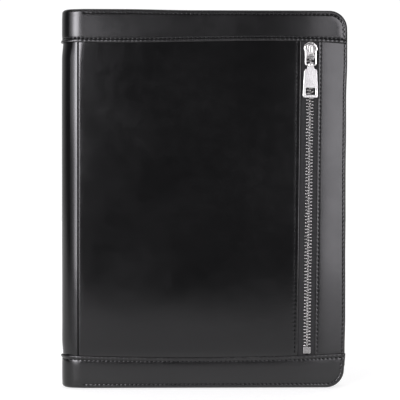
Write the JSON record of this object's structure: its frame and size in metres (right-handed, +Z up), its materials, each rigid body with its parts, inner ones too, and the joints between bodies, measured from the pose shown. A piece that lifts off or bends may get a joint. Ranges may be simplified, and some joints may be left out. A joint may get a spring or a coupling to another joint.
{
  "type": "portfolio case",
  "caption": "Flat black leather document portfolio with a round spine, wrapped end bands, a zip pocket in the front cover, and an inside pad, pocket, card slots and pen loop.",
  "frame": {"origin": "centre of the bounding box's underside, standing on the lower edge", "axes": "+Z up, -Y out of the front cover, spine at -X, opening edge at +X"},
  "size_m": [0.2535, 0.0338, 0.3335],
  "materials": {
    "cover_leather": "smooth semi-gloss black",
    "band_leather": "smooth semi-gloss black",
    "inner_leather": "satin black",
    "loop_elastic": "woven elastic",
    "lining": "matte",
    "pocket_lining": "matte",
    "board": "matte",
    "zip_tape": "woven",
    "zip_metal": "polished nickel",
    "pull_metal": "polished nickel",
    "paper": "matte",
    "card": "matte",
    "binding": "satin"
  },
  "bodies": {
    "back_cover": {"back_panel": "cover_leather", "back_top_band": "band_leather", "back_bottom_band": "band_leather", "back_board": "board", "back_lining": "lining", "notepad_sleeve": "inner_leather"},
    "spine": {"spine_panel": "cover_leather", "spine_top_band": "band_leather", "spine_bottom_band": "band_leather", "spine_stiffener": "board", "spine_lining": "lining", "pen_loop": "loop_elastic"},
    "front_cover": {"front_panel": "cover_leather", "front_edge_panel": "cover_leather", "front_top_band": "band_leather", "front_bottom_band": "band_leather", "pocket_front_lining": "pocket_lining", "pocket_back_lining": "pocket_lining", "zip_tape_left": "zip_tape", "zip_tape_right": "zip_tape", "zip_teeth_left": "zip_metal", "zip_teeth_right": "zip_metal", "zip_bottom_stop": "zip_metal", "zip_top_stops": "zip_metal", "front_board": "board", "front_lining": "lining", "document_pocket": "inner_leather", "card_slot_1": "inner_leather", "card_slot_2": "inner_leather", "card_slot_3": "inner_leather"},
    "zip_slider": {"zip_slider_body": "pull_metal"},
    "zip_link": {"pull_link": "pull_metal"},
    "zip_tab": {"pull_tab": "pull_metal"},
    "notepad": {"notepad_sheets": "paper", "notepad_card_back": "card", "notepad_binding": "binding"}
  },
  "joints": [
    {"name": "back_crease", "type": "hinge", "parent": "back_cover", "child": "spine", "pos_m": [-0.11085, 0.0169, 0.1675], "axis": [0, 0, -1], "range_deg": [0, 90]},
    {"name": "front_crease", "type": "hinge", "parent": "spine", "child": "front_cover", "pos_m": [-0.11085, -0.0131, 0.1675], "axis": [0, 0, -1], "range_deg": [0, 90]},
    {"name": "zip_slide", "type": "slide", "parent": "front_cover", "child": "zip_slider", "axis": [-0.0108, 0, -0.9999], "range_m": [0, 0.252], "deforming": ["zip_teeth_left", "zip_teeth_right", "zip_tape_left", "zip_tape_right"]},
    {"name": "link_swing", "type": "hinge", "parent": "zip_slider", "child": "zip_link", "pos_m": [0.09418, -0.01445, 0.2982], "axis": [-0.9999, 0, 0.0108], "range_deg": [0, 90]},
    {"name": "tab_swing", "type": "hinge", "parent": "zip_link", "child": "zip_tab", "pos_m": [0.09404, -0.01445, 0.2852], "axis": [-0.9999, 0, 0.0108], "range_deg": [0, 90]},
    {"name": "notepad_slide", "type": "slide", "parent": "back_cover", "child": "notepad", "axis": [0, 0, 1], "range_m": [0, 0.185]}
  ]
}
